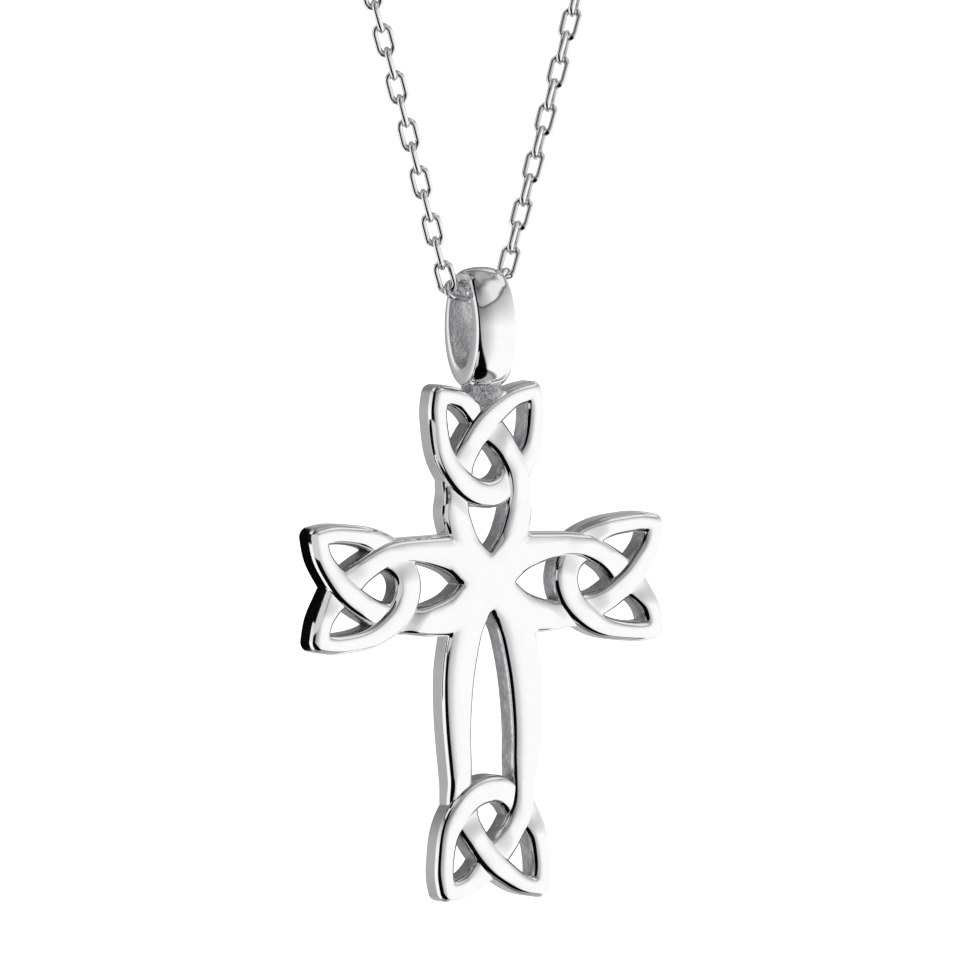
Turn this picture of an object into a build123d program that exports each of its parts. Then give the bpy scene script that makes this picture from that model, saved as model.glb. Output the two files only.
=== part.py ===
"""Openwork Celtic cross pendant with a soldered bail, on a fine chain.

Millimetres. X is across the pendant, Z is up and the cross faces -Y. The origin is where the
necklace hangs from the neck: the middle of the clasp, at the top of the chain's loop.
"""
import math
import os
from collections import namedtuple

from build123d import *

# cross
cross_thickness = 2.03
short_arm = 6.12  # hub centre to the middle of a knot's loop, on the top and side arms
long_arm = 14.15  # the same on the foot
stem_half_width = 3.30
side_stem_drift = -0.07  # the side arms' stems sit a little low
top_stem_drift = 0.08  # and the others' a little to the right
foot_stem_drift = 0.32
top_knot_drift = 0.10  # so do their knots and openings
foot_knot_drift = 0.20
knot_reach = 7.33  # loop's middle to the knot's outer corners
knot_half_width = 4.22
strand_width = 1.86
notch_above_crossing = 0.61  # where two strands' outer edges meet, as a share of strand_width
dip_depth = 0.42  # how far a strand drops where it passes under another
dip_run = 1.15  # length of the ramp back up
dip_half_width = 0.95

# bail
bail_depth = 5.75
bail_height = 8.45
bail_width = 2.97
bail_front_wall = 1.3
bail_back_wall = 1.0
bail_top_wall = 0.88
bail_bottom_wall = 1.5
bail_edge_radius = 0.45
bail_gap = 0.915  # bail's underside above the notch of the top knot
bead_width = 2.2
bead_depth = 1.6
bead_bite = 0.45  # how far the solder bead runs into the bail and into the knot

# chain and clasp
chain_drop = 199.0  # middle of the clasp to the chain's run inside the bail
loop_half_width = 38.5
chain_diameter = 1.2
chain_play = 0.3  # between the chain and the inside of the bail's top
bail_bend_radius = 0.75  # of the chain, where it leaves the bail
bend_share = 0.45  # share of the shorter run beside a corner that its bend takes up
clasp_length = 8.2
clasp_ring_diameter = 6.0
clasp_ring_wire = 1.1

# Centreline of a knot's strands: share of knot_reach outward from the loop's middle, share of
# knot_half_width to the side, and width as a share of strand_width.
StrandRow = namedtuple("StrandRow", "out side width")
crossing_strand = [
    StrandRow(-0.124, 0.590, 0.91),
    StrandRow(0.019, 0.578, 0.91),
    StrandRow(0.190, 0.535, 0.93),
    StrandRow(0.343, 0.420, 0.96),
    StrandRow(0.476, 0.285, 0.98),
    StrandRow(0.590, 0.145, 0.99),
    StrandRow(0.686, 0.0, 0.98),
    StrandRow(0.793, -0.235, 0.91),
    StrandRow(0.887, -0.487, 0.81),
    StrandRow(0.939, -0.848, 0.77),
]
loop_strand = [
    StrandRow(-0.004, 0.0, 1.05),
    StrandRow(0.048, 0.320, 1.03),
    StrandRow(0.188, 0.592, 0.97),
    StrandRow(0.400, 0.798, 0.84),
    StrandRow(0.640, 0.877, 0.76),
    StrandRow(0.800, 0.889, 0.76),
    StrandRow(0.939, 0.848, 0.77),
]

# Outline of an arm's stem and of the opening in it: share of the arm's length outward from the
# hub's centre, and share of stem_half_width to the side.
StemRow = namedtuple("StemRow", "out side")
top_stem = [StemRow(0.0, 0.957), StemRow(0.52, 0.965), StemRow(0.84, 1.05), StemRow(1.06, 1.02)]
side_stem = [StemRow(0.0, 1.05), StemRow(0.52, 1.05), StemRow(0.84, 1.03), StemRow(1.06, 1.0)]
short_opening = [
    StemRow(0.37, 0.0),
    StemRow(0.47, 0.175),
    StemRow(0.63, 0.325),
    StemRow(0.86, 0.45),
    StemRow(1.05, 0.47),
]
long_stem = [
    StemRow(0.0, 1.04),
    StemRow(0.22, 1.07),
    StemRow(0.39, 1.14),
    StemRow(0.57, 1.17),
    StemRow(0.81, 1.11),
    StemRow(1.0, 1.04),
]
long_opening = [
    StemRow(0.15, 0.0),
    StemRow(0.229, 0.165),
    StemRow(0.326, 0.277),
    StemRow(0.423, 0.358),
    StemRow(0.569, 0.435),
    StemRow(0.764, 0.475),
    StemRow(0.91, 0.47),
    StemRow(1.0, 0.48),
]

# An arm points along outward, and its knot's first strand starts on the side that sideways names.
Arm = namedtuple("Arm", "outward sideways length stem drift opening knot_drift")
arms = [
    Arm(Vector(0, 1), Vector(1, 0), short_arm, top_stem, top_stem_drift, short_opening, top_knot_drift),
    Arm(Vector(-1, 0), Vector(0, 1), short_arm, side_stem, side_stem_drift, short_opening, 0),
    Arm(Vector(1, 0), Vector(0, 1), short_arm, side_stem, side_stem_drift, short_opening, 0),
    Arm(Vector(0, -1), Vector(1, 0), long_arm, long_stem, foot_stem_drift, long_opening, foot_knot_drift),
]

# Where strands cross in a knot: the crossing's place, the way the lower strand runs there, and
# the strand on top.
Crossing = namedtuple("Crossing", "out side run_out run_side upper")
crossings = [
    Crossing(0.159, -0.548, 0.98, 0.21, "loop"),
    Crossing(0.159, 0.548, 0.76, 0.65, "from the right"),
    Crossing(0.686, 0.0, 0.69, -0.72, "from the left"),
]

# Chosen points of the chain's right half above the bail: share of loop_half_width, and height
# above the bail's run as a share of chain_drop.
RoutePoint = namedtuple("RoutePoint", "side height")
chain_route = [
    RoutePoint(0.180, 0.087),
    RoutePoint(0.431, 0.247),
    RoutePoint(0.706, 0.463),
    RoutePoint(0.930, 0.661),
    RoutePoint(1.0, 0.791),
    RoutePoint(0.935, 0.881),
    RoutePoint(0.764, 0.941),
    RoutePoint(0.517, 0.981),
    RoutePoint(0.247, 1.0),
]

# Heights follow from the chain down: its run, the bail round it, the top knot and the hub.
bail_top_inside = -chain_drop + chain_diameter / 2 + chain_play
bail_middle = bail_top_inside + bail_top_wall - bail_height / 2
bail_underside = bail_middle - bail_height / 2
notch_reach = crossings[2].out * knot_reach + notch_above_crossing * strand_width
hub_height = bail_underside - bail_gap - short_arm - notch_reach


def knot_point(arm, out, side):
    """A point of an arm's knot in the cross's own plane."""
    along = arm.length + out * knot_reach
    return arm.outward * along + arm.sideways * (side * knot_half_width + arm.knot_drift)


def strand_face(arm, rows):
    """A strand's footprint: two smooth edges, each half the strand's width from its centreline."""
    middle = [knot_point(arm, row.out, row.side) for row in rows]
    edges = {1: [], -1: []}
    for i, row in enumerate(rows):
        before, after = middle[max(i - 1, 0)], middle[min(i + 1, len(rows) - 1)]
        across = (after - before).normalized().rotate(Axis.Z, 90)
        for sign in edges:
            edges[sign].append(middle[i] + across * (sign * row.width * strand_width / 2))
    with BuildSketch() as footprint:
        with BuildLine():
            one = Spline(*edges[1])
            other = Spline(*edges[-1])
            Line(one @ 0, other @ 0)
            Line(one @ 1, other @ 1)
        make_face()
    return footprint.sketch


def mirrored(rows):
    """The same strand on the knot's other side."""
    return [StrandRow(row.out, -row.side, row.width) for row in rows]


def knot_strands(arm):
    """The knot's three strands: two that cross on its axis, and the loop that they run into."""
    whole_loop = mirrored(loop_strand)[:0:-1] + loop_strand
    return {
        "from the right": strand_face(arm, crossing_strand),
        "from the left": strand_face(arm, mirrored(crossing_strand)),
        "loop": strand_face(arm, whole_loop),
    }


def stem_face(arm, rows, drift):
    """A face with the same outline on both sides of the arm, closed across its two ends."""
    sides = {}
    for sign in (1, -1):
        sides[sign] = []
        for row in rows:
            offset = arm.sideways * (sign * row.side * stem_half_width + drift)
            sides[sign].append(arm.outward * (row.out * arm.length) + offset)
    with BuildSketch() as outline:
        with BuildLine():
            one = Spline(*sides[1])
            other = Spline(*sides[-1])
            if rows[0].side > 0:
                Line(one @ 0, other @ 0)
            Line(one @ 1, other @ 1)
        make_face()
    return outline.sketch


front_plane = Plane(origin=(0, 0, hub_height), x_dir=(1, 0, 0), z_dir=(0, -1, 0))
knots = [knot_strands(arm) for arm in arms]


def dip_cutter(arm, crossing, strands):
    """What is cut from the lower strand: a shallow tray that ramps up at both ends."""
    spot = knot_point(arm, crossing.out, crossing.side)
    run = (arm.outward * crossing.run_out + arm.sideways * crossing.run_side).normalized()
    flat = strand_width / 2
    reach = flat + dip_run
    clear = dip_depth / 2
    front = cross_thickness / 2
    side_plane = Plane(
        origin=front_plane.from_local_coords(spot),
        x_dir=Vector(run.X, 0, run.Y),
        z_dir=Vector(-run.Y, 0, run.X),
    )
    forward = 1 if side_plane.y_dir.Y < 0 else -1
    half_profile = [(flat, -dip_depth), (reach, 0), (reach, clear)]
    profile = [(-along, up) for along, up in reversed(half_profile)] + half_profile
    with BuildPart() as tray:
        with BuildSketch(side_plane):
            with BuildLine():
                Polyline(*[(along, forward * (front + up)) for along, up in profile], close=True)
            make_face()
        extrude(amount=dip_half_width, both=True)
        with BuildSketch(front_plane):
            add(strands[crossing.upper])
        extrude(amount=cross_thickness, both=True, mode=Mode.SUBTRACT)
    return tray.part


with BuildPart() as bail:
    with BuildSketch(Plane(origin=(-bail_width / 2, 0, bail_middle), x_dir=(0, 1, 0), z_dir=(1, 0, 0))):
        Ellipse(bail_depth / 2, bail_height / 2)
        with Locations(((bail_front_wall - bail_back_wall) / 2, (bail_bottom_wall - bail_top_wall) / 2)):
            Ellipse(
                (bail_depth - bail_front_wall - bail_back_wall) / 2,
                (bail_height - bail_top_wall - bail_bottom_wall) / 2,
                mode=Mode.SUBTRACT,
            )
    extrude(amount=bail_width)
    fillet(bail.edges().sort_by(SortBy.LENGTH)[-2:], bail_edge_radius)

with BuildPart() as cross_and_bail:
    with BuildSketch(front_plane):
        for arm in arms:
            add(stem_face(arm, arm.stem, arm.drift))
        for arm in arms:
            add(stem_face(arm, arm.opening, arm.knot_drift), mode=Mode.SUBTRACT)
        for arm, strands in zip(arms, knots):
            tip = crossing_strand[-1]
            for strand in strands.values():
                add(strand)
            for side in (tip.side, -tip.side):
                corner = knot_point(arm, tip.out, side)
                with Locations((corner.X, corner.Y)):
                    Circle(tip.width * strand_width / 2)
    extrude(amount=cross_thickness / 2, both=True)
    dips = [dip_cutter(arm, crossing, strands) for arm, strands in zip(arms, knots) for crossing in crossings]
    add(dips, mode=Mode.SUBTRACT)
    with BuildSketch(Plane.XY.offset(bail_underside + bead_bite)):
        Ellipse(bead_width / 2, bead_depth / 2)
    extrude(amount=-bail_gap - 2 * bead_bite)
    add(bail.part)

# The chain's right half from the bail up, mirrored for the left half.
first_corner = bail_width / 2 + bail_bend_radius
right_half = [Vector(first_corner, 0, -chain_drop)]
for point in chain_route:
    right_half.append(Vector(point.side * loop_half_width, 0, (point.height - 1) * chain_drop))
right_half.append(Vector(clasp_length / 2, 0, 0))
left_half = [Vector(-point.X, 0, point.Z) for point in reversed(right_half)]
route = left_half + right_half


def bend_radius(before, corner, after):
    """As large as the two runs at a corner allow."""
    turn = math.radians((corner - before).get_angle(after - corner))
    shorter = min((corner - before).length, (after - corner).length)
    return bend_share * shorter / math.tan(turn / 2)


radii = [bend_radius(*route[i - 1 : i + 2]) for i in range(1, len(route) - 1)]
for i in (len(left_half) - 2, len(left_half) - 1):
    radii[i] = bail_bend_radius
print("chain radii", [round(radius, 1) for radius in radii])

with BuildPart() as chain:
    with BuildLine() as middle_line:
        FilletPolyline(*route, radius=radii)
    with BuildSketch(Plane(origin=route[0], z_dir=route[1] - route[0])):
        Circle(chain_diameter / 2)
    sweep(path=middle_line.wire())
chain_length = middle_line.wire().length
print("chain tube", round(chain_length, 1), "volume", round(chain.part.volume, 1), "section x length",
      round(math.pi * chain_diameter**2 / 4 * chain_length, 1))

with BuildPart() as clasp:
    ring_radius = (clasp_ring_diameter - clasp_ring_wire) / 2
    Torus(ring_radius, clasp_ring_wire / 2, rotation=(90, 0, 0))
    for side in (1, -1):
        with BuildSketch(Plane(origin=(side * clasp_length / 2, 0, 0), z_dir=(-side, 0, 0))):
            Circle(chain_diameter / 2)
        extrude(amount=clasp_length / 2 - ring_radius)

os.makedirs("parts", exist_ok=True)
cross_and_bail.part.label = "cross_and_bail"
export_step(cross_and_bail.part, "parts/cross_and_bail.step")
chain.part.label = "chain"
export_step(chain.part, "parts/chain.step")
clasp.part.label = "clasp"
export_step(clasp.part, "parts/clasp.step")
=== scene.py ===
# An openwork Celtic cross pendant on a fine chain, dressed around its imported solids
import math

import bmesh
import bpy
import numpy as np
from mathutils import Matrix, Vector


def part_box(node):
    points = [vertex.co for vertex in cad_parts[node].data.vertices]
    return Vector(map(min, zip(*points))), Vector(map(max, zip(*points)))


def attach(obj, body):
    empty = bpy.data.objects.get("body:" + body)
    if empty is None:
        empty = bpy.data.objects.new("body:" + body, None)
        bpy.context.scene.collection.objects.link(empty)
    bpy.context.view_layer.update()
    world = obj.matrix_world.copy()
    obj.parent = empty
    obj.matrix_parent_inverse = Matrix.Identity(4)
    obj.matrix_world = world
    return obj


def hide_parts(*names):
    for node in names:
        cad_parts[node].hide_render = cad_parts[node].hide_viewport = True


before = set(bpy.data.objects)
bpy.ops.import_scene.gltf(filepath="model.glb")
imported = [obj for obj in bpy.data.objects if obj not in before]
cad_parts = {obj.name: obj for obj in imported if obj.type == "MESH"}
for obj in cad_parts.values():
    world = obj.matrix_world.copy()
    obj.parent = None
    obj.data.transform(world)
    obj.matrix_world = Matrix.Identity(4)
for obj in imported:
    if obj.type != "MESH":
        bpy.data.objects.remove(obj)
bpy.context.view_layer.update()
millimetre = 0.001

# Strand centrelines: share of the knot's reach outward, share of its half width to the side,
# and width as a share of the strand's width
crossingStrand = [
    (-0.124, 0.590, 0.91),
    (0.019, 0.578, 0.91),
    (0.190, 0.535, 0.93),
    (0.343, 0.420, 0.96),
    (0.476, 0.285, 0.98),
    (0.590, 0.145, 0.99),
    (0.686, 0.0, 0.98),
    (0.793, -0.235, 0.91),
    (0.887, -0.487, 0.81),
    (0.939, -0.848, 0.77),
]
loopStrand = [
    (-0.004, 0.0, 1.05),
    (0.048, 0.320, 1.03),
    (0.188, 0.592, 0.97),
    (0.400, 0.798, 0.84),
    (0.640, 0.877, 0.76),
    (0.800, 0.889, 0.76),
    (0.939, 0.848, 0.77),
]

cross = {
    "thickness": 2.03,
    "notch": 0.61,  # where the tips' outer edges meet, as a share of the strand's width
    "shortArm": 6.12,
    "longArm": 14.15,
    "stemHalfWidth": 3.30,
    "knotReach": 7.33,
    "knotHalfWidth": 4.22,
    "strandWidth": 1.86,
    "frontEdge": 0.50,  # radius of the rounded front edges
    "backEdge": 0.14,
    "crown": 0.075,  # how far the polished top falls towards its edges
    "crownWidth": 1.3,
    "dip": 0.27,  # drop of a strand that passes under another
    "dipFlat": 0.60,
    "dipRamp": 1.9,
    "rise": 0.06,
    "riseRun": 1.8,
    "rowStep": 0.13,
    "backStep": 0.012,  # between the backs of strands that cross
    "flare": 0.50,  # widening of a strand below another, as a share of its half width
    "outerFlare": 0.30,  # share of that on the strand's outer side
    "flareRun": 1.2,  # how far the widening reaches
    "cornerGap": 0.8,  # from the hub's corner to the first point of a stem's outline
}

# Stems and the openings in them: share of the arm's length outward, share of stemHalfWidth
topStem = [(0.0, 0.957), (0.52, 0.965), (0.84, 1.05)]
sideStem = [(0.0, 1.05), (0.52, 1.05), (0.84, 1.03)]
footStem = [(0.0, 1.04), (0.22, 1.07), (0.39, 1.14), (0.57, 1.17), (0.81, 1.11)]
shortOpening = [(0.37, 0.0), (0.47, 0.175), (0.63, 0.325), (0.86, 0.45)]
longOpening = [
    (0.15, 0.0),
    (0.229, 0.165),
    (0.326, 0.277),
    (0.423, 0.358),
    (0.569, 0.435),
    (0.764, 0.475),
    (0.91, 0.47),
]


def armFacing(out, side, length, stem, drift, opening, knotDrift):
    # an arm's outward and sideways directions in the cross's own plane, its outlines, and how
    # far its stem, and its knot with the opening, lie to the side of its axis
    arm = {"out": out, "side": side, "length": length, "stem": stem, "drift": drift}
    return {**arm, "opening": opening, "knotDrift": knotDrift}


arms = {
    "top": armFacing((0, 1), (1, 0), cross["shortArm"], topStem, 0.08, shortOpening, 0.10),
    "left": armFacing((-1, 0), (0, 1), cross["shortArm"], sideStem, -0.07, shortOpening, 0.0),
    "right": armFacing((1, 0), (0, 1), cross["shortArm"], sideStem, -0.07, shortOpening, 0.0),
    "foot": armFacing((0, -1), (1, 0), cross["longArm"], footStem, 0.32, longOpening, 0.20),
}


def stepLengths(line):
    # running length of a polyline, from its first two columns
    steps = np.hypot(*np.diff(line[:, :2], axis=0).T)
    return np.concatenate([[0.0], np.cumsum(steps)])


def resample(line, count):
    # the same polyline at equal steps of its length
    run = stepLengths(line)
    at = np.linspace(0.0, run[-1], count)
    return np.stack([np.interp(at, run, column) for column in line.T], axis=1)


def smoothCurve(points, count):
    # natural cubic spline through the points over their chord length, at equal steps of length
    p = np.asarray(points, float)
    t = stepLengths(p)
    h = np.diff(t)
    n = len(p)
    inner = np.arange(1, n - 1)
    system = np.zeros((n, n))
    system[0, 0] = system[-1, -1] = 1.0
    system[inner, inner - 1] = h[:-1]
    system[inner, inner] = 2.0 * (h[:-1] + h[1:])
    system[inner, inner + 1] = h[1:]
    right = np.zeros_like(p)
    right[1:-1] = 6.0 * ((p[2:] - p[1:-1]) / h[1:, None] - (p[1:-1] - p[:-2]) / h[:-1, None])
    m = np.linalg.solve(system, right)
    u = np.linspace(0.0, t[-1], 60 * n)
    k = np.clip(np.searchsorted(t, u) - 1, 0, n - 2)
    left, rest, span = (t[k + 1] - u)[:, None], (u - t[k])[:, None], h[k][:, None]
    curve = (m[k] * left**3 + m[k + 1] * rest**3) / (6.0 * span)
    curve += (p[k] / span - m[k] * span / 6.0) * left
    curve += (p[k + 1] / span - m[k + 1] * span / 6.0) * rest
    return resample(curve, count)


def strandCurve(rows, count):
    # (side, outward, half width) along a strand, from its table of shares
    table = np.array(rows)
    points = np.stack(
        [
            table[:, 1] * cross["knotHalfWidth"],
            table[:, 0] * cross["knotReach"],
            table[:, 2] * cross["strandWidth"] / 2,
        ],
        axis=1,
    )
    return smoothCurve(points, count)


def edgesOf(curve):
    # the two edges of a strand: half its width to the left and right of its line
    tangent = np.gradient(curve[:, :2], axis=0)
    tangent /= np.linalg.norm(tangent, axis=1)[:, None]
    normal = np.stack([-tangent[:, 1], tangent[:, 0]], axis=1)
    offset = normal * curve[:, 2:3]
    return curve[:, :2] + offset, curve[:, :2] - offset


def meetingPoint(a, b):
    # first place where two polylines cross: the rows before it and the point
    da, db = np.diff(a, axis=0)[:, None], np.diff(b, axis=0)[None]
    gap = b[None, :-1] - a[:-1, None]
    area = da[..., 0] * db[..., 1] - da[..., 1] * db[..., 0]
    area = np.where(np.abs(area) < 1e-12, 1e-12, area)
    s = (gap[..., 0] * db[..., 1] - gap[..., 1] * db[..., 0]) / area
    t = (gap[..., 0] * da[..., 1] - gap[..., 1] * da[..., 0]) / area
    i, j = np.argwhere((s >= 0) & (s <= 1) & (t >= 0) & (t <= 1))[0]
    return i, j, a[i] + s[i, j] * (a[i + 1] - a[i])


def distanceTo(points, lines):
    # shortest distance from each point to any of the polylines
    best = np.full(len(points), np.inf)
    for line in lines:
        start, run = line[:-1], np.diff(line, axis=0)
        length = np.maximum((run**2).sum(axis=1), 1e-12)
        for first in range(0, len(points), 4000):
            part = slice(first, first + 4000)
            away = points[part, None, :] - start[None]
            along = np.clip((away * run[None]).sum(axis=2) / length, 0.0, 1.0)
            miss = away - along[..., None] * run[None]
            best[part] = np.minimum(best[part], np.sqrt((miss**2).sum(axis=2)).min(axis=1))
    return best


def edgeDrop(distance, radius):
    # how far a surface lies below its top, this far in from a rounded edge
    inward = np.clip(radius - distance, 0.0, radius)
    return radius - np.sqrt(radius**2 - inward**2)


def smoothStep(x):
    x = np.clip(x, 0.0, 1.0)
    return x * x * (3.0 - 2.0 * x)


def bandMesh(outer, inner, edges, lift, openRows=(), inset=0.0):
    # a strand or plate between two edge lines. Each row is a closed section: front, wall, back,
    # wall. The front falls along a quarter circle and a soft crown near the edges. A small inset
    # of the back keeps strands that cross from lying in one plane there.
    rows = len(outer)
    angles = np.radians(np.linspace(0, 90, 10))
    near = cross["frontEdge"] * (1 - np.cos(angles))
    width = np.linalg.norm(inner - outer, axis=1)
    squeeze = np.minimum(1.0, width / (2.1 * near[-1]))[:, None]
    left = near[None] * squeeze
    middle = np.linspace(0, 1, 6)[1:-1][None]
    between = left[:, -1:] + (width[:, None] - 2 * left[:, -1:]) * middle
    along = np.concatenate([left, between, width[:, None] - left[:, ::-1]], axis=1)
    share = along / np.maximum(width[:, None], 1e-9)
    plan = outer[:, None] + (inner - outer)[:, None] * share[..., None]
    columns = plan.shape[1]
    distance = distanceTo(plan.reshape(-1, 2), edges).reshape(rows, columns)
    half = cross["thickness"] / 2
    reach = np.minimum(cross["crownWidth"], width / 2)[:, None]
    crown = cross["crown"] * (1 - np.clip(distance / np.maximum(reach, 1e-6), 0, 1)) ** 2
    front = -half - lift[:, None] + edgeDrop(distance, cross["frontEdge"]) + crown
    back = half - inset - edgeDrop(distance, cross["backEdge"])
    brace = 0.04
    parts = [
        np.stack([plan[..., 0], front, plan[..., 1]], axis=2),
        np.stack([plan[:, -1, 0], front[:, -1] + brace, plan[:, -1, 1]], axis=1)[:, None],
        np.stack([plan[:, -1, 0], back[:, -1] - brace, plan[:, -1, 1]], axis=1)[:, None],
        np.stack([plan[..., 0], back, plan[..., 1]], axis=2)[:, ::-1],
        np.stack([plan[:, 0, 0], back[:, 0] - brace, plan[:, 0, 1]], axis=1)[:, None],
        np.stack([plan[:, 0, 0], front[:, 0] + brace, plan[:, 0, 1]], axis=1)[:, None],
    ]
    section = np.concatenate(parts, axis=1)
    around = section.shape[1]
    index = np.arange(rows * around).reshape(rows, around)
    nextIndex = np.roll(index, -1, axis=1)
    quads = np.stack([index[:-1], index[1:], nextIndex[1:], nextIndex[:-1]], axis=-1)
    keep = np.ones(quads.shape[:2], bool)
    for first, last in openRows:  # no wall where the plate goes on past this row's inner end
        keep[first:last, columns - 1 : columns + 2] = False
    faces = quads[keep].tolist() + [index[0][::-1].tolist(), index[-1].tolist()]
    return section.reshape(-1, 3), faces


def liftAlong(outer, inner, overs, unders):
    # height of each row: a low swell over each upper crossing and a dip at each lower one
    middle = (outer + inner) / 2
    lift = np.zeros(len(middle))
    for spot in overs:
        away = np.linalg.norm(middle - spot, axis=1) / cross["riseRun"]
        lift += cross["rise"] * (1 - smoothStep(away))
    for spot in unders:
        away = (np.linalg.norm(middle - spot, axis=1) - cross["dipFlat"]) / cross["dipRamp"]
        lift -= cross["dip"] * (1 - smoothStep(away))
    return lift


def flared(outer, inner, unders):
    # the edge lines of a strand that widens, as a bell curve, where it runs under each crossing,
    # so that the openings' corners are filled as in a casting; less so on its outer side
    middle = (outer + inner) / 2
    grow = np.zeros(len(middle))
    for spot in unders:
        grow += np.exp(-((np.linalg.norm(middle - spot, axis=1) / cross["flareRun"]) ** 2))
    push = (outer - middle) * cross["flare"] * grow[:, None]
    return outer + push * cross["outerFlare"], inner - push


def onArm(arm, line, side=1):
    # knot or stem points (side, outward from the hub) in the cross's plane; side -1 mirrors them
    return np.outer(line[:, 0] * side, arm["side"]) + np.outer(line[:, 1], arm["out"])


def cutAt(curve, outward):
    # row of a curve where it first reaches this share of the knot's reach
    return int(np.argmax(curve[:, 1] >= outward * cross["knotReach"]))


crossCurve = strandCurve(crossingStrand, 400)
otherHalf = [(out, -side, width) for out, side, width in loopStrand[:0:-1]]
wholeLoop = strandCurve(otherHalf + loopStrand, 600)
middleRow = cutAt(crossCurve, 0.686)
sideRow = cutAt(crossCurve, 0.159)
loopRow = 300 + cutAt(wholeLoop[300:], 0.159)
middleSpot = crossCurve[middleRow, :2]
sideSpot = crossCurve[sideRow, :2]


def knotPiece(arm, first, second, overs, unders, inset):
    # a strand that runs to a corner of the knot, turns round it and runs on: two edge lines, with
    # an arc round the outside of the corner and a sharp meeting inside. It passes over others at
    # the first group of spots and under them at the second.
    shift = np.array([arm["knotDrift"], arm["length"]])
    (insideA, outsideA), (insideB, outsideB) = edgesOf(first), edgesOf(second)
    i, j, corner = meetingPoint(insideA, insideB)
    insideA = np.concatenate([insideA[: i + 1], [corner]])
    insideB = np.concatenate([[corner], insideB[j + 1 :]])
    centre = first[-1, :2]
    begin, end = outsideA[-1] - centre, outsideB[0] - centre
    startAngle = math.atan2(begin[1], begin[0])
    turn = (math.atan2(end[1], end[0]) - startAngle) % (2 * math.pi)
    angles = startAngle + np.linspace(0, turn, 14)[1:-1]
    arc = centre + np.linalg.norm(begin) * np.stack([np.cos(angles), np.sin(angles)], axis=1)
    counts = [int(stepLengths(line)[-1] / cross["rowStep"]) for line in (outsideA, outsideB)]
    outer = np.concatenate([resample(outsideA, counts[0]), arc, resample(outsideB, counts[1])])
    pivot = np.repeat(corner[None], len(arc), axis=0)
    inner = np.concatenate([resample(insideA, counts[0]), pivot, resample(insideB, counts[1])])

    def place(line):
        return onArm(arm, line + shift)

    spots = [[place(spot[None])[0] for spot in group] for group in (overs, unders)]
    outer, inner = flared(place(outer), place(inner), spots[1])
    return bandMesh(outer, inner, [outer, inner], liftAlong(outer, inner, *spots), inset=inset)


def stemEdge(arm, side):
    # how far from an arm's axis its stem's edge lies at the hub
    return arm["stem"][0][1] * cross["stemHalfWidth"] + side * arm["drift"]


def shaftEdges(arm, side, corner):
    # outer and inner edge of the shaft on one side of an arm, from the hub's corner to where the
    # shaft first passes under another strand
    last = middleRow if side > 0 else sideRow
    inside, outside = edgesOf(crossCurve)
    shift = np.array([side * arm["knotDrift"], arm["length"]])
    picks = np.append(np.arange(sideRow // 2, last - 6, 12), last)
    scale = (cross["stemHalfWidth"], arm["length"])
    stem = np.array(arm["stem"])[:, ::-1] * scale + (side * arm["drift"], 0.0)
    stem = stem[stem[:, 1] > corner[1] + cross["cornerGap"]]
    opening = np.array(arm["opening"])[:, ::-1] * scale + (side * arm["knotDrift"], 0.0)
    outer = np.concatenate([[corner], stem, outside[picks] + shift])
    inner = np.concatenate([opening, inside[picks] + shift])
    count = int(stepLengths(outer)[-1] / cross["rowStep"])
    return onArm(arm, smoothCurve(outer, count), side), onArm(arm, smoothCurve(inner, count), side)


def quarterPlate(armA, sideA, armB, sideB):
    # a quarter of the hub with the two shafts that leave it. Its inner line runs down one
    # opening, along the arm's axis to the hub's centre, and out again along the other arm.
    reachA, reachB = stemEdge(armA, sideA), stemEdge(armB, sideB)
    outerA, innerA = shaftEdges(armA, sideA, (reachA, reachB))
    outerB, innerB = shaftEdges(armB, sideB, (reachB, reachA))
    seamRows = 12
    hub = np.zeros(2)
    seamA = np.linspace(innerA[0], hub, seamRows + 1)[1:]
    seamB = np.linspace(hub, innerB[0], seamRows + 1)[:-1]
    outer = np.concatenate(
        [
            resample(outerA[::-1], len(innerA) + seamRows),
            resample(outerB, len(innerB) + seamRows)[1:],
        ]
    )
    inner = np.concatenate([innerA[::-1], seamA, seamB[1:], innerB])
    spots = {"over": [], "under": []}
    for arm, side in ((armA, sideA), (armB, sideB)):
        shift = np.array([side * arm["knotDrift"], arm["length"]])
        if side > 0:
            spots["over"].append(onArm(arm, (sideSpot + shift)[None], side)[0])
            spots["under"].append(onArm(arm, (middleSpot + shift)[None], side)[0])
        else:
            spots["under"].append(onArm(arm, (sideSpot + shift)[None], side)[0])
    lift = liftAlong(outer, inner, spots["over"], spots["under"])
    outer, inner = flared(outer, inner, spots["under"])
    edges = [outer, inner[: len(innerA)], inner[-len(innerB) :]]
    return bandMesh(outer, inner, edges, lift, [(len(innerA) - 1, len(innerA) - 1 + 2 * seamRows)])


def solidFrom(name, meshes, offset, merge=2e-7):
    # one object in metres from (points, faces) in millimetres, seams closed and faces outward
    total, points, faces = 0, [], []
    for part, partFaces in meshes:
        points.append(part)
        faces += [[corner + total for corner in face] for face in partFaces]
        total += len(part)
    points = (np.concatenate(points) + offset) * millimetre
    mesh = bpy.data.meshes.new(name)
    mesh.from_pydata(points.tolist(), [], faces)
    body = bmesh.new()
    body.from_mesh(mesh)
    bmesh.ops.remove_doubles(body, verts=body.verts, dist=merge)
    bmesh.ops.dissolve_degenerate(body, edges=body.edges, dist=merge)
    bmesh.ops.recalc_face_normals(body, faces=body.faces)
    body.to_mesh(mesh)
    body.free()
    mesh.shade_smooth()
    piece = bpy.data.objects.new(name, mesh)
    bpy.context.scene.collection.objects.link(piece)
    return piece


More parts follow.
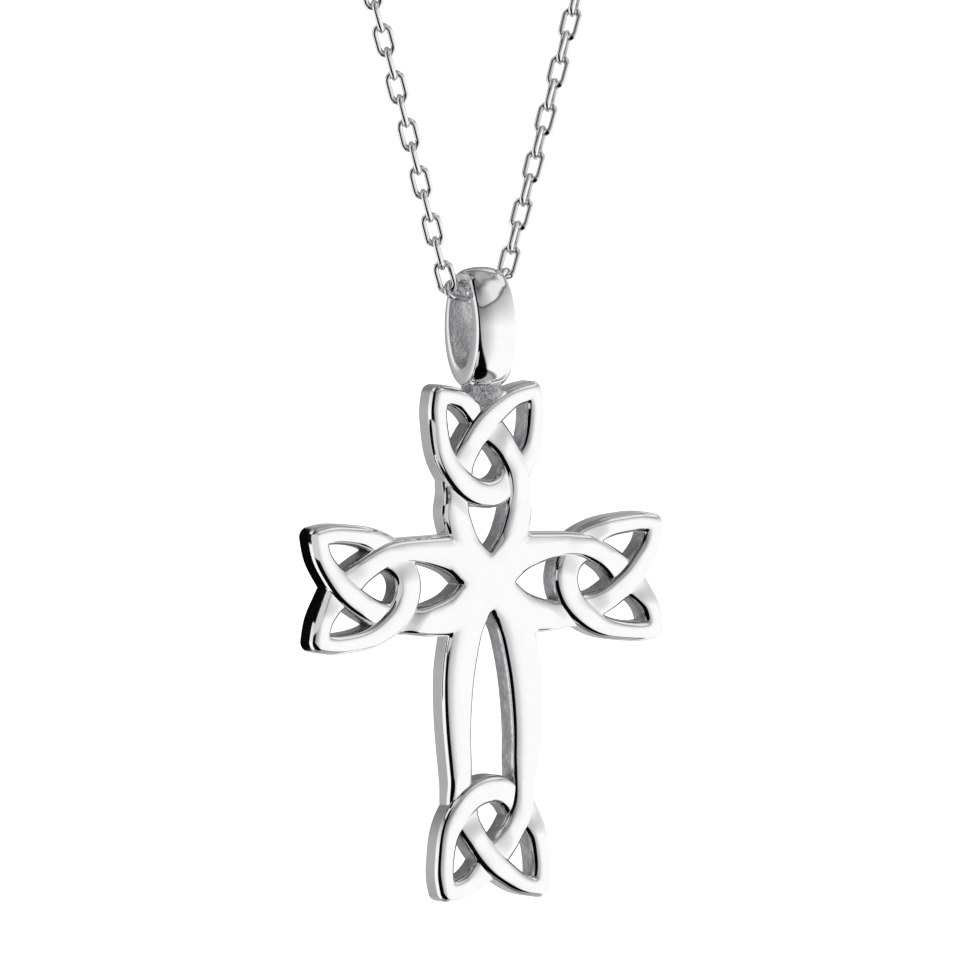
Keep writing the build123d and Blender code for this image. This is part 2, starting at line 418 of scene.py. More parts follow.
low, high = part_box("cross_and_bail")
tip = crossingStrand[-1]
belowHub = cross["longArm"] + tip[0] * cross["knotReach"] + tip[2] * cross["strandWidth"] / 2
hubHeight = low.z / millimetre + belowHub
hubPlace = np.array([0.0, 0.0, hubHeight])

mirrorSide = np.array([-1.0, 1.0, 1.0])
crossParts = [
    quarterPlate(arms["top"], 1, arms["right"], 1),
    quarterPlate(arms["top"], -1, arms["left"], 1),
    quarterPlate(arms["left"], -1, arms["foot"], -1),
    quarterPlate(arms["right"], -1, arms["foot"], 1),
]
mirrorSpot = sideSpot * (-1, 1)
returning = (crossCurve * mirrorSide)[sideRow:][::-1]
knotStrands = [
    (crossCurve[middleRow:], wholeLoop[: loopRow + 1], [mirrorSpot], [middleSpot, sideSpot]),
    (wholeLoop[loopRow:], returning, [middleSpot], [sideSpot, mirrorSpot]),
]
for arm in arms.values():
    for order, strand in enumerate(knotStrands, start=1):
        crossParts.append(knotPiece(arm, *strand, order * cross["backStep"]))
crossBody = solidFrom("crossBody", crossParts, hubPlace)


# where shade is painted onto the openings' walls; walls that face right, towards the light, get
# none
wallShadeMark = {
    "shaftMiddle": 0.8,  # share of stemHalfWidth
    "start": 0.8,  # below the front, as a share of its edge's radius
    "fade": 0.3,
    "backGap": 0.5,
    "rightFacing": 0.3,  # x of the normals at which the mark has gone
}


def inAnOpening(x, z, shaftMiddle):
    # 1 where a wall looks into one of the openings: it lies within the middle lines of its arm's
    # loop and tips, or within the middle lines of the stem's two shafts
    inside = np.zeros(len(x))
    loopRows, tipRows = np.array(loopStrand[2:]), np.abs(crossingStrand[6:])
    for arm in arms.values():
        out = x * arm["out"][0] + z * arm["out"][1]
        side = np.abs(x * arm["side"][0] + z * arm["side"][1] - arm["knotDrift"])
        share = (out - arm["length"]) / cross["knotReach"]
        loopSide = np.interp(share, loopRows[:, 0], loopRows[:, 1]) * cross["knotHalfWidth"]
        tipShare = np.interp(side / cross["knotHalfWidth"], tipRows[:, 1], tipRows[:, 0])
        limit = np.where(share > loopRows[0, 0], loopSide, shaftMiddle * cross["stemHalfWidth"])
        inside[(out > side) & (side < limit) & (share < tipShare)] = 1.0
    return inside


def paintWallShade(piece, look):
    # the mark is 1 on the openings' walls, bar those that face right towards the bright side of the
    # studio, and fades to 0 where the front edge's round begins; it paints shade onto those walls
    places = np.zeros(len(piece.data.vertices) * 3)
    piece.data.vertices.foreach_get("co", places)
    x, y, z = (places.reshape(-1, 3) / millimetre - hubPlace).T
    normals = np.zeros_like(places)
    piece.data.vertices.foreach_get("normal", normals)
    half, edge = cross["thickness"] / 2, cross["frontEdge"]
    onWall = smoothStep((y + half - look["start"] * edge) / (look["fade"] * edge))
    onWall *= y < half - look["backGap"] * cross["backEdge"]
    onWall *= 1 - smoothStep(normals.reshape(-1, 3)[:, 0] / look["rightFacing"])
    mark = piece.data.attributes.new("dull", "FLOAT", "POINT")
    onWall *= inAnOpening(x, z, look["shaftMiddle"])
    mark.data.foreach_set("value", onWall.astype(np.float32))


paintWallShade(crossBody, wallShadeMark)
print("cross: hub height", round(hubHeight, 2), "faces", len(crossBody.data.polygons))

bailLook = {
    "depth": 5.75,
    "height": 8.45,
    "width": 2.97,
    "frontWall": 1.3,
    "backWall": 1.0,
    "topWall": 0.88,
    "bottomWall": 1.5,
    "dome": 0.48,  # how far the outside falls towards its sides
    "innerEdge": 0.10,
    "around": 120,
    "outsideSteps": 27,
    "edgeSteps": 5,
    "insideSteps": 9,
}


def bailMesh(look):
    # an oval ring: each section is a strip with a half-ellipse outside, carried round between two
    # ellipses, the inner one nearer to the back and the top
    half = look["width"] / 2
    turn = np.linspace(0, 2 * np.pi, look["around"], endpoint=False)
    circle = np.stack([np.sin(turn), np.cos(turn)], axis=1)
    outer = circle * (look["depth"] / 2, look["height"] / 2)
    innerDepth = (look["depth"] - look["frontWall"] - look["backWall"]) / 2
    innerHeight = (look["height"] - look["topWall"] - look["bottomWall"]) / 2
    toBack = (look["frontWall"] - look["backWall"]) / 2
    toTop = (look["bottomWall"] - look["topWall"]) / 2
    inner = circle * (innerDepth, innerHeight) + (toBack, toTop)
    wall = np.linalg.norm(inner - outer, axis=1)
    arc = np.radians(np.linspace(-90, 90, look["outsideSteps"]))
    outerX = half * np.sin(arc)
    outerDepth = look["dome"] * (1 - np.cos(arc))
    smallArc = np.radians(np.linspace(0, 90, look["edgeSteps"]))
    small = look["innerEdge"]
    innerX = half - small * (1 - np.cos(smallArc))
    innerUp = small * (1 - np.sin(smallArc))  # above the inner face
    flatX = np.linspace(half - small, -(half - small), look["insideSteps"])[1:-1]
    x = np.concatenate([outerX, innerX, flatX, -innerX[::-1]])
    onInner = np.concatenate([np.zeros(len(outerX)), np.ones(2 * len(innerX) + len(flatX))])
    depthOuter = np.concatenate([outerDepth, np.zeros(2 * len(innerX) + len(flatX))])
    upInner = np.concatenate([np.zeros(len(outerX)), innerUp, np.zeros(len(flatX)), innerUp[::-1]])
    depth = np.where(onInner[None] > 0, wall[:, None] - upInner[None], depthOuter[None])
    direction = (inner - outer) / wall[:, None]
    place = outer[:, None] + direction[:, None] * depth[..., None]
    points = np.stack([np.broadcast_to(x, depth.shape), place[..., 0], place[..., 1]], axis=2)
    rows, columns = depth.shape
    index = np.arange(rows * columns).reshape(rows, columns)
    ahead, beside = np.roll(index, -1, axis=0), np.roll(index, -1, axis=1)
    both = np.roll(ahead, -1, axis=1)
    faces = np.stack([index, ahead, both, beside], axis=-1).reshape(-1, 4).tolist()
    matte = np.sin(smallArc) ** 4
    mark = np.concatenate([np.zeros(len(outerX)), matte, np.ones(len(flatX)), matte[::-1]])
    return points.reshape(-1, 3), faces, np.broadcast_to(mark, depth.shape).reshape(-1)


bailMiddle = high.z / millimetre - bailLook["height"] / 2
bailPoints, bailFaces, bailInside = bailMesh(bailLook)
bail = solidFrom("bail", [(bailPoints, bailFaces)], np.array([0, 0, bailMiddle]))
insideMark = bail.data.attributes.new("dull", "FLOAT", "POINT")
insideMark.data.foreach_set("value", bailInside.astype(np.float32))
print("bail middle", round(bailMiddle, 2), "faces", len(bail.data.polygons))

# the solder between bail and knot: half width and half depth from its foot up, and its blobs
jointLook = {
    "halfWidth": [1.15, 1.18, 1.22, 1.26, 1.34, 1.40],
    "halfDepth": [0.76, 0.78, 0.82, 0.95, 1.10, 1.25],
    "overlap": 0.75,
    "rings": 19,
    "around": 40,
    "closing": 0.02,  # share of the height over which each end closes
    "squareness": 3,
    "blobs": [
        (0.45, -0.75, 0.40, 0.34),
        (0.95, -0.60, 0.62, 0.22),
        (-0.80, -0.65, 0.45, 0.26),
        (-0.25, -0.85, 0.66, 0.20),
        (-1.10, 0.10, 0.55, 0.26),
    ],
}


def jointMesh(look, bottom, top):
    # a squarish column whose section follows the two tables up its height, with low round blobs
    # (across, front or back, share of the height, size) raised on it
    v = np.linspace(0, 1, look["rings"])[:, None]
    u = np.linspace(0, 2 * np.pi, look["around"], endpoint=False)[None]
    knots = np.linspace(0, 1, len(look["halfWidth"]))
    closing = np.clip(np.minimum(v, 1 - v) / look["closing"], 0, 1)
    wide = np.interp(v, knots, look["halfWidth"]) * closing
    deep = np.interp(v, knots, look["halfDepth"]) * closing
    power = look["squareness"]
    squarish = (np.abs(np.cos(u)) ** power + np.abs(np.sin(u)) ** power) ** (-1 / power)
    x, y = wide * squarish * np.cos(u), deep * squarish * np.sin(u)
    z = bottom + (top - bottom) * v * np.ones_like(u)
    swell = np.zeros_like(x)
    for across, toFront, share, size in look["blobs"]:
        away = (x - across) ** 2 + (y - toFront) ** 2 + (z - bottom - (top - bottom) * share) ** 2
        swell += size * np.exp(-away / (0.8 * size + 0.06) ** 2)
    grow = 1 + swell / np.maximum(np.hypot(x, y), 0.3)
    points = np.stack([x * grow, y * grow, z], axis=2)
    rows, columns = points.shape[:2]
    index = np.arange(rows * columns).reshape(rows, columns)
    ahead = np.roll(index, -1, axis=1)
    faces = np.stack([index[:-1], ahead[:-1], ahead[1:], index[1:]], axis=-1)
    return points.reshape(-1, 3), faces.reshape(-1, 4).tolist()


knotTop = cross["shortArm"] + crossingStrand[6][0] * cross["knotReach"]
knotTop += cross["notch"] * cross["strandWidth"]
jointFoot = hubHeight + knotTop - jointLook["overlap"]
jointTop = bailMiddle - bailLook["height"] / 2 + jointLook["overlap"]
joint = solidFrom("solderJoint", [jointMesh(jointLook, jointFoot, jointTop)], np.zeros(3))
jointMark = joint.data.attributes.new("dull", "FLOAT", "POINT")
jointMark.data.foreach_set("value", np.ones(len(joint.data.vertices), np.float32))

# Route of the chain, as the tube in the source runs: side and height in millimetres, with points
# of its own near the bail
chainLook = {
    "linkLength": 2.47,
    "linkWidth": 1.5,
    "wire": 0.45,
    "pitch": 1.69,
    "leftTwist": -28,  # degrees about the strand, so that every second link faces the camera
    "rightTwist": -47,
    "slide": 0.37,  # how far the links at the bail have slid to its right
    "pull": 0.19,  # and how far they are pulled apart there
    "changeOver": 1.5,  # links from the bail's middle to where a strand's own twist sets in
    "drop": 199.0,
    "halfWidth": 38.5,
}
routeAboveBail = [
    (0.431, 0.247),
    (0.706, 0.463),
    (0.930, 0.661),
    (1.0, 0.791),
    (0.935, 0.881),
    (0.764, 0.941),
    (0.517, 0.981),
    (0.247, 1.0),
]
leftBend = [(-1.3, 0.0), (-2.36, 0.05), (-2.70, 1.1), (-4.42, 7.5), (-7.05, 17.3)]
rightBend = [(1.3, 0.0), (1.69, 0.05), (1.98, 1.1), (3.95, 7.5), (6.97, 17.3)]
claspHalf = 4.1
upperRoute = [(s * chainLook["halfWidth"], h * chainLook["drop"]) for s, h in routeAboveBail]
upperRoute.append((claspHalf, chainLook["drop"]))
leftRoute = leftBend + [(-s, h) for s, h in upperRoute]
routePoints = leftRoute[::-1] + rightBend + upperRoute


def splineThrough(points, name):
    # the route's NURBS line of order three, read back as points
    curve = bpy.data.curves.new(name, "CURVE")
    curve.dimensions = "3D"
    curve.resolution_u = 24
    spline = curve.splines.new("NURBS")
    spline.points.add(len(points) - 1)
    flat = [value for s, h in points for value in (s, 0.0, h - chainLook["drop"], 1.0)]
    spline.points.foreach_set("co", flat)
    spline.use_endpoint_u = True
    spline.order_u = 3
    holder = bpy.data.objects.new(name, curve)
    bpy.context.scene.collection.objects.link(holder)
    mesh = bpy.data.meshes.new_from_object(holder)
    line = np.zeros(len(mesh.vertices) * 3)
    mesh.vertices.foreach_get("co", line)
    bpy.data.objects.remove(holder)
    bpy.data.meshes.remove(mesh)
    return line.reshape(-1, 3)


def linkMesh(look, rings, sides):
    # an oval link: a round wire carried along a stadium, two straights and two half circles
    bend = (look["linkWidth"] - look["wire"]) / 2
    straight = (look["linkLength"] - look["linkWidth"]) / 2
    t = np.linspace(0, 2 * np.pi, rings, endpoint=False) + np.pi / rings
    line = np.stack([bend * np.cos(t) + straight * np.sign(np.cos(t)), bend * np.sin(t)], axis=1)
    outward = np.stack([np.cos(t), np.sin(t)], axis=1)
    s = np.linspace(0, 2 * np.pi, sides, endpoint=False) + np.pi / sides
    radius = look["wire"] / 2
    plan = line[:, None] + outward[:, None] * (radius * np.cos(s))[None, :, None]
    depth = np.broadcast_to(radius * np.sin(s), plan.shape[:2])
    points = np.stack([plan[..., 0], plan[..., 1], depth], axis=2)
    index = np.arange(rings * sides).reshape(rings, sides)
    ahead, beside = np.roll(index, -1, axis=0), np.roll(index, -1, axis=1)
    faces = np.stack([index, ahead, np.roll(ahead, -1, axis=1), beside], axis=-1).reshape(-1, 4)
    return points.reshape(-1, 3), faces


def chainMesh(look, line, picks, rings, sides):
    # links between joints a pitch apart on the line, every second one turned a quarter; how far
    # the strands differ follows tanh of the links counted from the bail
    run = np.concatenate([[0], np.cumsum(np.linalg.norm(np.diff(line, axis=0), axis=1))])
    total = run[-1]
    count = 2 * int(round(total / look["pitch"] / 2)) + 1
    share = np.linspace(0, 1, count + 1)
    at = total * share + look["slide"] * np.sin(np.pi * share)
    toRight = np.tanh((share - 0.5) * count / look["changeOver"])
    at += look["pull"] * toRight
    joints = np.stack([np.interp(at, run, column) for column in line.T], axis=1)
    along = np.diff(joints, axis=0)
    along /= np.linalg.norm(along, axis=1)[:, None]
    middle = (joints[1:] + joints[:-1]) / 2
    twist = np.interp(toRight[:-1], (-1, 1), np.radians([look["leftTwist"], look["rightTwist"]]))
    faceOn = np.stack([np.cos(twist), np.sin(twist), np.zeros(count)], axis=1)
    depthAxis = np.cross(along, faceOn)
    depthAxis /= np.linalg.norm(depthAxis, axis=1)[:, None]
    across = np.cross(depthAxis, along)
    odd = (np.arange(count) - count // 2) % 2 == 1
    sideAxis = np.where(odd[:, None], depthAxis, across)
    upAxis = np.cross(along, sideAxis)
    chosen = picks(np.arange(count) - count // 2)
    link, faces = linkMesh(look, rings, sides)
    axes = np.stack([along, sideAxis, upAxis], axis=1)[chosen]
    points = middle[chosen][:, None] + np.einsum("pk,lkc->lpc", link, axes)
    allFaces = faces[None] + (np.arange(chosen.sum()) * len(link))[:, None, None]
    return points.reshape(-1, 3), allFaces.reshape(-1, 4).tolist()


routeLine = splineThrough(routePoints, "chainRoute")
nearLinks = 14  # links each side of the bail that get a rounder wire
chain = solidFrom(
    "chainLinks",
    [
        chainMesh(chainLook, routeLine, lambda n: np.abs(n) <= nearLinks, 24, 12),
        chainMesh(chainLook, routeLine, lambda n: np.abs(n) > nearLinks, 14, 6),
    ],
    np.zeros(3),
)
routeLength = stepLengths(routeLine[:, [0, 2]])[-1]
print("chain: route", round(routeLength, 1), "faces", len(chain.data.polygons))

claspLook = {
    "ringWidth": 6.0,
    "wire": 0.52,  # radius of the ring's wire
    "tube": 0.60,  # and of the tube that the spring sits in
    "half": claspHalf,
    "eyeRadius": 0.62,
    "eyeWire": 0.20,
    "leverRadius": 0.35,
    "leverWire": 0.20,
    "leverAcross": -0.55,
    "leverDrop": 0.45,  # below the ring's wire
}


def ringMesh(radius, wire, start, end, centre, rings=48, sides=14):
    # part of an upright torus about centre, from one angle to another, with rounded ends unless it
    # closes
    t = np.radians(np.linspace(start, end, rings))
    closed = abs(end - start) >= 360
    t = t[:-1] if closed else t
    size = np.ones(len(t))
    if not closed:
        size[[0, -1]], size[[1, -2]] = 0.02, 0.75
    s = np.linspace(0, 2 * np.pi, sides, endpoint=False)
    away = radius + wire * size[:, None] * np.cos(s)[None]
    points = np.zeros((len(t), sides, 3))
    points[..., 0] = away * np.cos(t)[:, None]
    points[..., 2] = away * np.sin(t)[:, None]
    points[..., 1] = -wire * size[:, None] * np.sin(s)[None]
    index = np.arange(len(t) * sides).reshape(len(t), sides)
    ahead, beside = np.roll(index, -1, axis=0), np.roll(index, -1, axis=1)
    faces = np.stack([index, ahead, np.roll(ahead, -1, axis=1), beside], axis=-1)
    if closed:
        return points.reshape(-1, 3) + centre, faces.reshape(-1, 4).tolist()
    caps = [index[0][::-1].tolist(), index[-1].tolist()]
    return points.reshape(-1, 3) + centre, faces[:-1].reshape(-1, 4).tolist() + caps


def claspParts(look):
    # a spring ring: the wire, the tube over its right half, the lever standing inside the ring,
    # and a small eye on each side that holds the chain's last link
    middle = look["ringWidth"] / 2 - look["tube"]
    origin = np.zeros(3)
    eyePlace = np.array([look["half"] - look["eyeRadius"] - look["eyeWire"], 0.0, 0.0])
    lever = np.array([look["leverAcross"], 0.0, middle - look["leverDrop"]])
    parts = [
        ringMesh(middle, look["wire"], 0, 360, origin, rings=64),
        ringMesh(middle, look["tube"], -75, 120, origin, rings=40),
        ringMesh(look["leverRadius"], look["leverWire"], 200, 340, lever, rings=16),
    ]
    for side in (1, -1):
        eye = eyePlace * side
        parts.append(ringMesh(look["eyeRadius"], look["eyeWire"], 0, 360, eye, rings=28, sides=10))
    return parts


clasp = solidFrom("springRingClasp", claspParts(claspLook), np.zeros(3))
print("clasp faces", len(clasp.data.polygons))


class Value:
    # a number that varies over a surface; arithmetic on it adds Math nodes
    def __init__(self, graph, socket):
        self.graph, self.socket = graph, socket

    def combine(self, operation, first, second):
        node = self.graph.make("ShaderNodeMath", {"operation": operation}, {0: first, 1: second})
        return Value(self.graph, node.outputs[0])

    def __add__(self, other):
        return self.combine("ADD", self, other)

    def __mul__(self, other):
        return self.combine("MULTIPLY", self, other)

    def __sub__(self, other):
        return self.combine("SUBTRACT", self, other)

    def __rsub__(self, other):
        return self.combine("SUBTRACT", other, self)

    __radd__ = __add__
    __rmul__ = __mul__


class Graph:
    # the node tree of a material or world, with one way of making a node
    def __init__(self, owner):
        owner.use_nodes = True
        self.tree = owner.node_tree
        self.tree.nodes.clear()

    def make(self, kind, settings, sockets):
        node = self.tree.nodes.new(kind)
        for name, value in settings.items():
            if name == "stops":
                while len(node.color_ramp.elements) < len(value):
                    node.color_ramp.elements.new(0.5)
                for element, (position, level) in zip(node.color_ramp.elements, value):
                    element.position = position
                    element.color = (level, level, level, 1.0)
            elif name == "interpolation":
                node.color_ramp.interpolation = value
            else:
                setattr(node, name, value)
        for name, value in sockets.items():
            if isinstance(value, Value):
                self.tree.links.new(value.socket, node.inputs[name])
            elif isinstance(value, bpy.types.NodeSocket):
                self.tree.links.new(value, node.inputs[name])
            else:
                node.inputs[name].default_value = value
        return node

    def value(self, node, output=0):
        return Value(self, node.outputs[output])


silverLook = {
    "color": (0.955, 0.955, 0.96, 1.0),
    "shade": (0.90, 0.90, 0.91, 1.0),
    "roughness": 0.055,
    "smear": 0.035,  # extra roughness in the polishing smears
    "smearScale": 1400.0,
    "ripple": 0.10,
    "rippleScale": 650.0,
    "rippleHeight": 0.00006,
}

castGrain = {
    "scale": 4200.0,
    "height": 0.00012,
    "roughness": 0.12,
    "blotchRange": (0.36, 0.64),  # noise levels between which a blotch's edge lies
}


def polishedSilver(name, look, dull=None):
    # mirror-polished metal with faint smears and the soft ripple that hand polishing leaves; where
    # the piece's own mark says so it stays as cast, rough and grained, and its colour goes darker:
    # painted shade on the openings' walls, a darker as-cast tone on the bail's inside and the
    # solder
    material = bpy.data.materials.new(name)
    graph = Graph(material)
    place = graph.make("ShaderNodeTexCoord", {}, {}).outputs["Object"]

    def noise(scale, detail, roughness=0.5, stretch=(1.0, 1.0, 1.0)):
        sockets = {0: place, 1: stretch}
        stretched = graph.make("ShaderNodeVectorMath", {"operation": "MULTIPLY"}, sockets)
        sockets = {"Vector": stretched.outputs[0], "Scale": scale, "Detail": detail}
        sockets["Roughness"] = roughness
        return graph.value(graph.make("ShaderNodeTexNoise", {}, sockets))

    def mixed(share, first, second):
        sockets = {0: share, 6: first, 7: second}
        return graph.make("ShaderNodeMix", {"data_type": "RGBA"}, sockets).outputs[2]

    def bumped(strength, distance, height, sockets):
        sockets = {"Strength": strength, "Distance": distance, "Height": height, **sockets}
        return graph.make("ShaderNodeBump", {}, sockets).outputs[0]

    smear = noise(look["smearScale"], 4.0, 0.6)
    ripple = noise(look["rippleScale"], 1.0)
    tone = mixed(smear, look["color"], look["shade"])
    roughness = smear * look["smear"] + look["roughness"]
    normal = bumped(look["ripple"], look["rippleHeight"], ripple, {})
    surface = {"Base Color": tone, "Roughness": roughness, "Normal": normal, "Metallic": 1.0}
    if dull:
        mark = graph.value(graph.make("ShaderNodeAttribute", {"attribute_name": "dull"}, {}), "Fac")
        grain = noise(castGrain["scale"], 5.0, 0.7)
        blotch = noise(dull["blotchScale"], 3.0, 0.6, dull["stretch"])
        sockets = {0: blotch, 1: castGrain["blotchRange"][0], 2: castGrain["blotchRange"][1]}
        blotch = graph.value(
            graph.make("ShaderNodeMapRange", {"interpolation_type": "SMOOTHSTEP"}, sockets)
        )
        height = (grain + blotch) * mark
        surface["Normal"] = bumped(dull["bump"], castGrain["height"], height, {"Normal": normal})
        roughAsCast = dull["roughness"] + castGrain["roughness"] * grain
        surface["Roughness"] = roughness + mark * roughAsCast
        # the mark's darker colour: painted shade on the openings' walls, an as-cast tone on the
        # bail and the solder
        share = mark * (dull["share"] + dull["mottle"] * blotch)
        surface["Base Color"] = mixed(share, tone, dull["color"])
    shader = graph.make("ShaderNodeBsdfPrincipled", {}, surface)
    graph.make("ShaderNodeOutputMaterial", {}, {"Surface": shader.outputs[0]})
    return material


castInside = {
    "blotchScale": 850.0,
    "stretch": (1.0, 1.0, 0.5),
    "bump": 0.8,
    "roughness": 0.27,
    "share": 0.30,
    "mottle": 0.55,
    "color": (0.50, 0.50, 0.51, 1.0),
}
solderRough = {
    "blotchScale": 1500.0,
    "stretch": (1.0, 1.0, 1.0),
    "bump": 1.0,
    "roughness": 0.12,
    "share": 0.30,
    "mottle": 0.60,
    "color": (0.34, 0.34, 0.35, 1.0),
}
# the openings' walls: the dark colour over most of each wall is painted shade, over rough, grained
# metal
openingWallShadeAndGrain = {
    "blotchScale": 900.0,
    "stretch": (1.0, 1.0, 1.0),
    "bump": 0.25,
    "roughness": 0.16,
    "share": 0.75,
    "mottle": 0.25,
    "color": (0.40, 0.40, 0.41, 1.0),
}
# the cross's silver carries the painted shade on the openings' walls
silver = polishedSilver("polishedSilver", silverLook, openingWallShadeAndGrain)
bailSilver = polishedSilver("bailSilver", silverLook, castInside)
solderSilver = polishedSilver("solderSilver", silverLook, solderRough)
wireLook = {**silverLook, "color": (0.90, 0.90, 0.91, 1.0), "ripple": 0.02}
chainSilver = polishedSilver("chainSilver", wireLook)
claspSilver = polishedSilver("claspSilver", {**silverLook, "roughness": 0.08, "ripple": 0.04})
crossBody.data.materials.append(silver)
joint.data.materials.append(solderSilver)
bail.data.materials.append(bailSilver)
chain.data.materials.append(chainSilver)
clasp.data.materials.append(claspSilver)

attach(crossBody, "pendant")
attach(bail, "pendant")
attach(joint, "pendant")
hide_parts("cross_and_bail")
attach(chain, "necklace")
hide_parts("chain")
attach(clasp, "necklace")
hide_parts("clasp")

studio = {
    "floorDrop": 60.0,  # below the lowest knot
    "floorSize": 12.0,
    "distance": 1.38,
    "azimuth": -28.0,
    "elevation": 3.25,
    "roll": 0.65,
    "pixelsPerMillimetre": 14.6,
    "imageWidth": 970,
    "aboveHub": 6.65,  # the frame's middle above the hub's centre
    "toTheRight": 0.19,
    "sensor": 36.0,
}


def makeCamera(look):
    # a long lens at the photograph's angle, level with the frame's middle
    a, e = math.radians(look["azimuth"]), math.radians(look["elevation"])
    back = np.array([math.sin(a) * math.cos(e), -math.cos(a) * math.cos(e), math.sin(e)])
    data = bpy.data.cameras.new("camera")
    data.sensor_width = look["sensor"]
    width = look["imageWidth"] / look["pixelsPerMillimetre"] * millimetre
    data.lens = look["sensor"] * look["distance"] / width
    data.clip_end = 50.0
    camera = bpy.data.objects.new("camera", data)
    bpy.context.scene.collection.objects.link(camera)
    sideways = np.array([math.cos(a), math.sin(a), 0.0]) * look["toTheRight"]
    target = (np.array([0.0, 0.0, hubHeight + look["aboveHub"]]) + sideways) * millimetre
    camera.location = target + back * look["distance"]
    camera.rotation_euler = (math.radians(90) - e, 0.0, a)
    camera.rotation_mode = "XYZ"
    camera.rotation_euler.rotate_axis("Z", math.radians(-look["roll"]))
    bpy.context.scene.camera = camera


makeCamera(studio)


def makeFloor(look):
    # a pale sheet well under the pendant
    height = low.z - look["floorDrop"] * millimetre
    half = look["floorSize"] / 2
    mesh = bpy.data.meshes.new("floor")
    corners = [(-half, -half), (half, -half), (half, half), (-half, half)]
    mesh.from_pydata([(x, y, height) for x, y in corners], [], [(0, 1, 2, 3)])
    floor = bpy.data.objects.new("floor", mesh)
    bpy.context.scene.collection.objects.link(floor)
    material = bpy.data.materials.new("paleFloor")
    graph = Graph(material)
    shader = graph.make(
        "ShaderNodeBsdfPrincipled",
        {},
        {
            "Base Color": (0.86, 0.86, 0.86, 1.0),
            "Roughness": 0.9,
            "Emission Color": (1.0, 1.0, 1.0, 1.0),
            "Emission Strength": 1.0,
        },
    )
    graph.make("ShaderNodeOutputMaterial", {}, {"Surface": shader.outputs[0]})
    mesh.materials.append(material)
    floor.visible_glossy = False  # the metal reflects the studio's walls instead


makeFloor(studio)


def makeCard(name, plan, low, high, glow):
    # a small card that stands on a bent line beside the left knot, from one height to another
    # above the hub, and that only that knot reflects
    count = len(plan)
    lowRow = [(x, y, low) for x, y in plan]
    highRow = [(x, y, high) for x, y in plan]
    mesh = bpy.data.meshes.new(name)
    points = (np.array(lowRow + highRow) + hubPlace) * millimetre
    faces = [(i, i + 1, i + 1 + count, i + count) for i in range(count - 1)]
    mesh.from_pydata(points.tolist(), [], faces)
    card = bpy.data.objects.new(name, mesh)
    bpy.context.scene.collection.objects.link(card)
    material = bpy.data.materials.new(name)
    graph = Graph(material)
    look = {
        "Base Color": (0.003, 0.003, 0.003, 1.0),
        "Roughness": 1.0,
        "Specular IOR Level": 0.0,
        "Emission Color": (1.0, 1.0, 1.0, 1.0),
        "Emission Strength": glow,
    }
    shader = graph.make("ShaderNodeBsdfPrincipled", {}, look)
    graph.make("ShaderNodeOutputMaterial", {}, {"Surface": shader.outputs[0]})
    mesh.materials.append(material)
    card.visible_camera = False
    card.visible_diffuse = False
    card.visible_shadow = False
    card.visible_transmission = False


# Two black cards stand behind the knot and to its left, and a pale one in front of it
makeCard("upperCard", [(-11.6, 9.0), (-20.5, 9.0), (-22.0, -1.0)], 0.8, 9.0, 0.0)
makeCard("lowerCard", [(-11.6, 9.0), (-20.5, 9.0)], -9.0, 0.8, 0.0)
makeCard("paleCard", [(-22.0, -1.1), (-17.0, -9.0), (-12.5, -12.0)], -1.6, 9.0, 0.66)

# Brightness of the studio by compass angle as the pendant sees it: 0 is straight in front, minus
# is to its left. A black flag stands left of the camera beside a bright strip.
studioWalls = [
    (-180, 0.45),
    (-160, 0.36),
    (-150, 0.44),
    (-143, 0.95),
    (-90, 1.0),
    (-86, 0.36),
    (-34, 0.42),
    (0, 0.62),
    (12, 0.78),
    (21, 0.95),
    (28, 1.0),
    (60, 1.0),
    (128, 0.98),
    (148, 0.50),
    (180, 0.42),
]

# and by height: -1 is straight down, 0 is level, 1 is straight up
studioHeights = [
    (-1.0, 0.34),
    (-0.90, 0.44),
    (-0.875, 0.20),
    (-0.855, 0.20),
    (-0.83, 1.0),
    (0.02, 1.0),
    (0.15, 0.86),
    (0.35, 0.60),
    (0.49, 0.46),
    (0.52, 0.16),
    (0.54, 0.16),
    (0.57, 0.86),
    (0.70, 0.80),
    (0.78, 0.22),
    (0.84, 0.42),
    (1.0, 0.42),
]

# The black flag's right edge by height, in degrees of the compass, and its other measures
flagEdge = [
    (-1.0, 70),
    (-0.90, 40),
    (-0.82, 20),
    (-0.7, 6),
    (-0.5, -12),
    (-0.25, -33),
    (0.0, -46),
    (0.5, -56),
]
studioFlag = {"left": -88.0, "softness": 8.0, "depth": 0.995}

# How far the heights lean by compass angle, so that the bright panel's lower edge slopes, and how
# the walls turn and the panel's upper edge rises near the top; pairs are where each sets in
heightLean = [
    (-180, 0.0),
    (-75, -0.05),
    (-40, -0.11),
    (-12, -0.09),
    (7, -0.05),
    (26, 0.0),
    (49, 0.09),
    (69, 0.13),
    (90, 0.06),
    (180, 0.0),
]
studioTop = {
    "turnHeights": (0.45, 0.95),
    "turn": 8.0,
    "leanHeights": (0.1, 0.45),
    "riseHeights": (0.60, 0.85),
    "riseCompass": (10, 75),
    "rise": 0.17,
}
studioStrength = 1.04


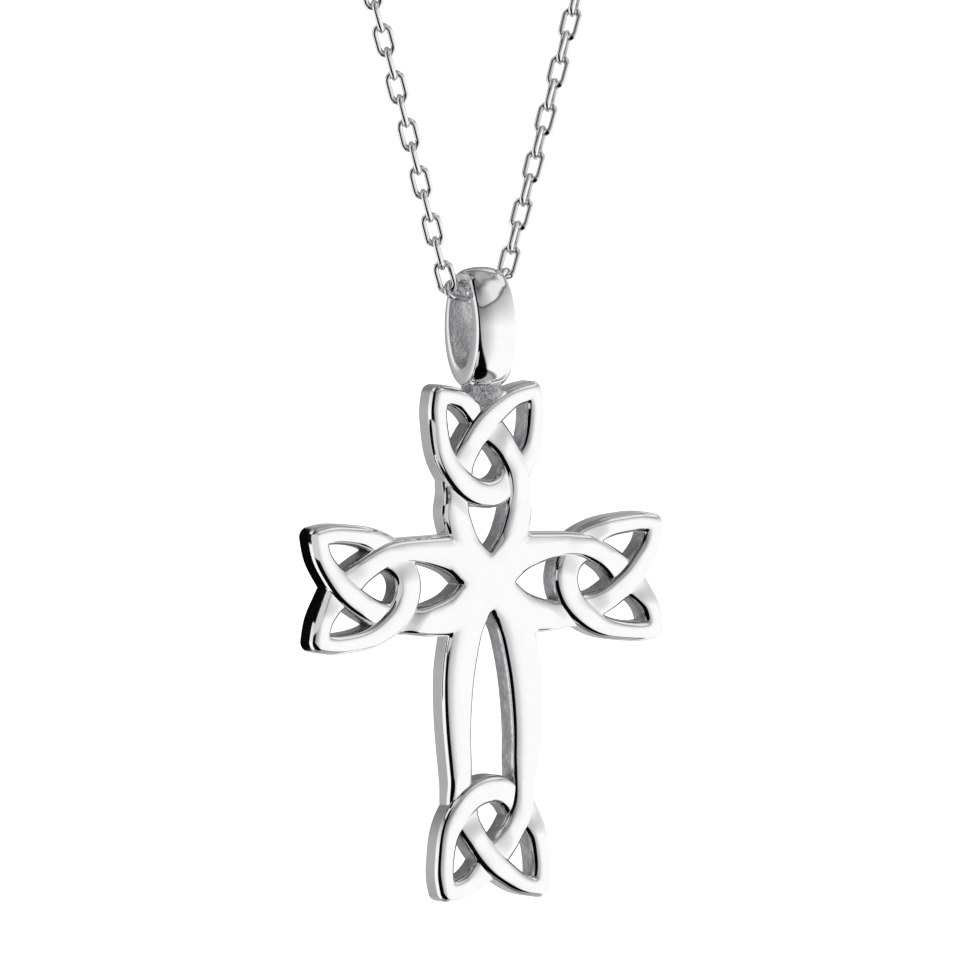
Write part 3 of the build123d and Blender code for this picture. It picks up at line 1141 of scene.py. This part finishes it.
def makeWorld(walls, heights, flag, edge, leans, top, strength):
    # the product of the two brightnesses, less a black flag that widens below; the heights lean
    # in front, and the camera itself sees only the pale background
    world = bpy.data.worlds.new("studio")
    bpy.context.scene.world = world
    graph = Graph(world)
    direction = graph.make("ShaderNodeTexCoord", {}, {}).outputs["Generated"]
    parts = graph.make("ShaderNodeSeparateXYZ", {}, {"Vector": direction})
    x, y, z = (graph.value(parts, axis) for axis in range(3))

    def between(value, low, high, kind="LINEAR"):
        sockets = {0: value, 1: low, 2: high, 3: 0.0, 4: 1.0}
        return graph.value(graph.make("ShaderNodeMapRange", {"interpolation_type": kind}, sockets))

    def table(rows, place):
        return graph.value(graph.make("ShaderNodeValToRGB", {"stops": rows}, {"Fac": place}))

    compass = graph.value(
        graph.make("ShaderNodeMath", {"operation": "ARCTAN2"}, {0: x, 1: 0.0 - y})
    )
    degrees = compass * (180 / math.pi)
    height = z * 0.5 + 0.5
    fromLeft = degrees - between(z, *top["turnHeights"]) * top["turn"]
    wallRows = [((angle + 180) / 360, level) for angle, level in walls]
    ring = table(wallRows, fromLeft * (1 / 360) + 0.5)
    leanRows = [((angle + 180) / 360, 0.5 + lean) for angle, lean in leans]
    lean = table(leanRows, degrees * (1 / 360) + 0.5) - 0.5
    lean *= between(z, *top["leanHeights"])
    upperRise = 1.0 - between(degrees, *top["riseCompass"])
    lean += upperRise * between(z, *top["riseHeights"]) * top["rise"]
    heightRows = [((rise + 1) / 2, level) for rise, level in heights]
    dome = table(heightRows, (z - lean) * 0.5 + 0.5)
    edgeRows = [((rise + 1) / 2, (angle + 100) / 200) for rise, angle in edge]
    reach = table(edgeRows, height) * 200.0 - 100.0
    right = between((reach - degrees) * (1 / flag["softness"]) + 0.5, 0.0, 1.0, "SMOOTHSTEP")
    left = between(degrees, flag["left"] - 2, flag["left"] + 2, "SMOOTHSTEP")
    level = ring * dome * (1.0 - left * right * flag["depth"])
    seen = graph.make("ShaderNodeLightPath", {}, {}).outputs["Is Camera Ray"]
    shown = graph.make(
        "ShaderNodeMix", {"data_type": "RGBA"}, {0: seen, 6: level, 7: (1.0, 1.0, 1.0, 1.0)}
    )
    sockets = {"Color": shown.outputs[2], "Strength": strength}
    background = graph.make("ShaderNodeBackground", {}, sockets)
    graph.make("ShaderNodeOutputWorld", {}, {"Surface": background.outputs[0]})


makeWorld(
    studioWalls, studioHeights, studioFlag, flagEdge, heightLean, studioTop, studioStrength
)
bpy.context.scene.view_settings.view_transform = "Standard"
bpy.context.scene.view_settings.look = "None"
print("studio ready")
